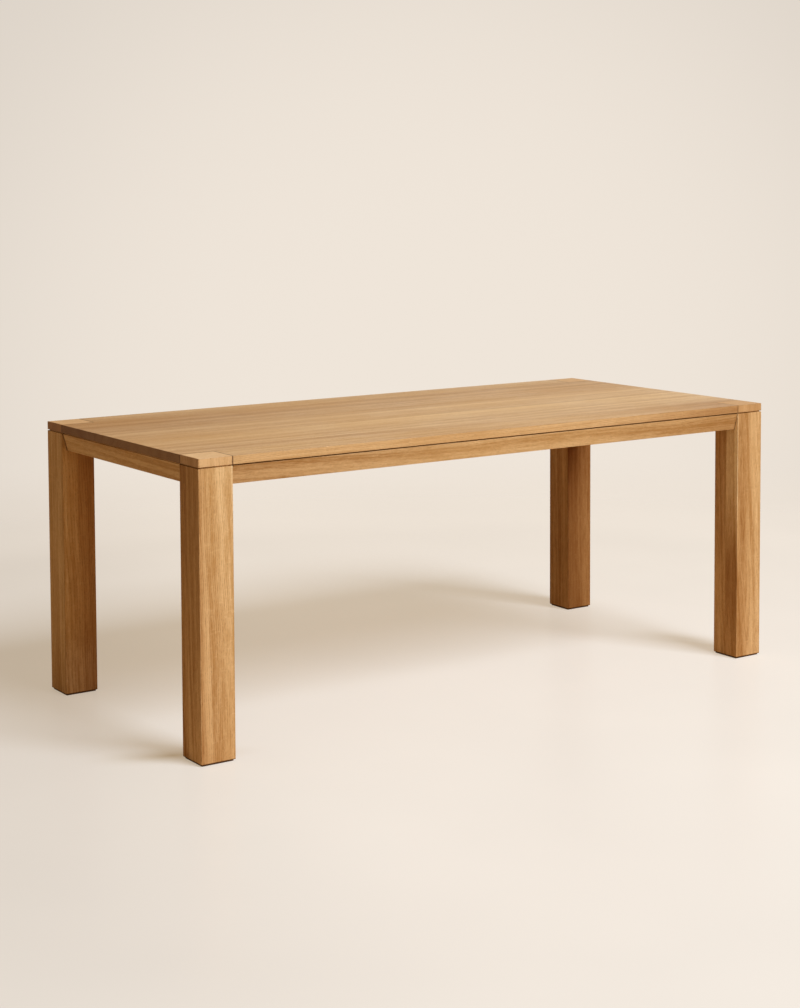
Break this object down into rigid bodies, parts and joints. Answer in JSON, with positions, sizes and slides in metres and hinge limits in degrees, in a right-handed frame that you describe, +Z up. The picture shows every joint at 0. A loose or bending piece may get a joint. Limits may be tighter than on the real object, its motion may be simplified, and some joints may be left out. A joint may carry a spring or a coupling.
{
  "type": "parsons dining table",
  "caption": "Rectangular wooden dining table with square legs flush to the corners of a board top, a shadow gap under it and shallow aprons between the legs.",
  "frame": {"origin": "on the floor below the middle of the top", "axes": "+Z up, X along the length of the top, the front long side faces -Y"},
  "size_m": [1.9, 0.88, 0.76],
  "materials": {
    "top_wood": "satin lacquer over honey oak, grain along the length",
    "block_wood": "satin lacquer, upright grain with end grain on top",
    "leg_wood": "satin lacquer over honey oak, upright grain",
    "apron_wood": "satin lacquer over honey oak, grain along each apron",
    "rail_wood": "sanded, thin oil",
    "joinery_wood": "plain beech",
    "plate_steel": "zinc plated sheet",
    "clip_steel": "zinc plated sheet",
    "fastener_steel": "bright zinc",
    "pad_plastic": "matt black"
  },
  "bodies": {
    "root": {"top_board_back_edge": "top_wood", "top_board_wide_1": "top_wood", "top_board_wide_2": "top_wood", "top_board_wide_3": "top_wood", "top_board_narrow": "top_wood", "top_board_front_edge": "top_wood", "corner_block_front_left": "block_wood", "corner_block_front_right": "block_wood", "corner_block_back_left": "block_wood", "corner_block_back_right": "block_wood", "leg_front_left": "leg_wood", "leg_front_right": "leg_wood", "leg_back_left": "leg_wood", "leg_back_right": "leg_wood", "apron_front": "apron_wood", "apron_back": "apron_wood", "apron_left": "apron_wood", "apron_right": "apron_wood", "cross_rail_left": "rail_wood", "cross_rail_right": "rail_wood", "board_tongue_1": "joinery_wood", "board_tongue_2": "joinery_wood", "board_tongue_3": "joinery_wood", "board_tongue_4": "joinery_wood", "board_tongue_5": "joinery_wood", "block_dowels": "joinery_wood", "apron_dowels": "joinery_wood", "rail_dowels": "joinery_wood", "corner_plate_front_left": "plate_steel", "corner_plate_front_right": "plate_steel", "corner_plate_back_left": "plate_steel", "corner_plate_back_right": "plate_steel", "hanger_bolts": "fastener_steel", "bolt_washers": "fastener_steel", "bolt_nuts": "fastener_steel", "plate_screws": "fastener_steel", "clip_screws": "fastener_steel", "rail_screws": "fastener_steel", "pad_screws": "fastener_steel", "top_clips": "clip_steel", "glide_pad_front_left": "pad_plastic", "glide_pad_front_right": "pad_plastic", "glide_pad_back_left": "pad_plastic", "glide_pad_back_right": "pad_plastic"}
  },
  "joints": []
}
